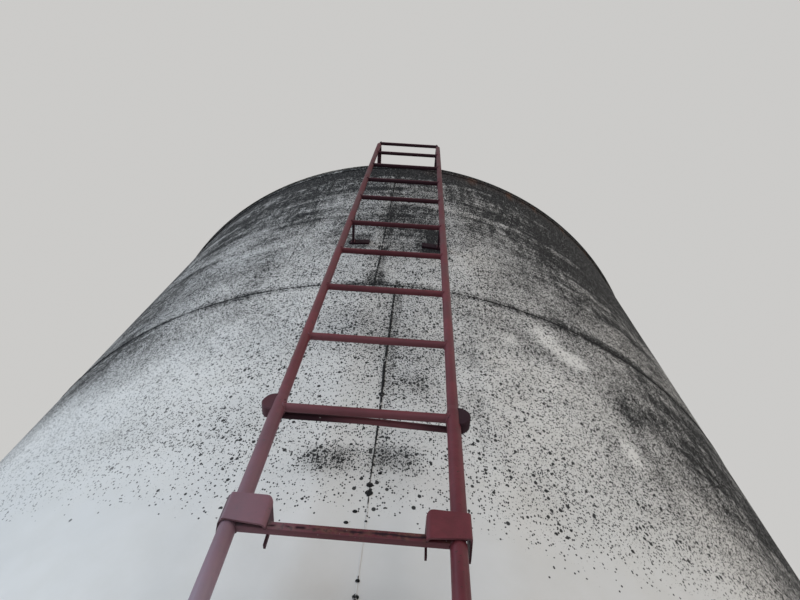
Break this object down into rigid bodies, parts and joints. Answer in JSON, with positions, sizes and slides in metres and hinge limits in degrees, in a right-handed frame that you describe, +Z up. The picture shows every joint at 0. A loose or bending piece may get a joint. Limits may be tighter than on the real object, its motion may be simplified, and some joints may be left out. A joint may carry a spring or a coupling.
{
  "type": "hopper bottom grain bin",
  "caption": "Round welded steel grain bin with a cone roof, a cone hopper on legs and a base ring, a slide gate outlet and an outside ladder.",
  "frame": {"origin": "on the ground, on the bin's axis", "axes": "+Z up the bin, -Y towards the ladder at the front, +X to the right of someone facing the ladder"},
  "size_m": [3.8926, 3.915, 6.7336],
  "materials": {
    "wall_paint": "satin white paint with black mildew",
    "ladder_paint": "worn satin maroon paint",
    "frame_paint": null,
    "gate_steel": "bare steel plate, rubbed and a little rusty"
  },
  "bodies": {
    "root": {"base_ring_1": "frame_paint", "base_ring_2": "frame_paint", "base_ring_3": "frame_paint", "leg_1": "frame_paint", "leg_2": "frame_paint", "leg_3": "frame_paint", "leg_4": "frame_paint", "leg_5": "frame_paint", "leg_6": "frame_paint", "hopper_ring_1": "wall_paint", "hopper_ring_2": "wall_paint", "hopper_ring_3": "wall_paint", "hopper_sheet_1": "wall_paint", "hopper_sheet_2": "wall_paint", "hopper_sheet_3": "wall_paint", "outlet_neck": "wall_paint", "gate_housing": "frame_paint", "gate_plate": "gate_steel", "lower_wall_sheet_1": "wall_paint", "lower_wall_sheet_2": "wall_paint", "lower_wall_sheet_3": "wall_paint", "upper_wall_sheet_1": "wall_paint", "upper_wall_sheet_2": "wall_paint", "upper_wall_sheet_3": "wall_paint", "eave_ring_1": "wall_paint", "eave_ring_2": "wall_paint", "eave_ring_3": "wall_paint", "roof_sheet_1": "wall_paint", "roof_sheet_2": "wall_paint", "roof_sheet_3": "wall_paint", "fill_collar": "wall_paint", "fill_lid": "wall_paint", "ladder_upper": "ladder_paint", "ladder_return": "ladder_paint", "ladder_splice": "ladder_paint", "ladder_middle_left": "ladder_paint", "ladder_middle_right": "ladder_paint", "ladder_socket_left": "ladder_paint", "ladder_socket_right": "ladder_paint", "ladder_lower": "ladder_paint", "standoff_upper_left": "ladder_paint", "standoff_upper_right": "ladder_paint", "standoff_lower_left": "ladder_paint", "standoff_lower_right": "ladder_paint", "roof_ladder": "ladder_paint"}
  },
  "joints": []
}
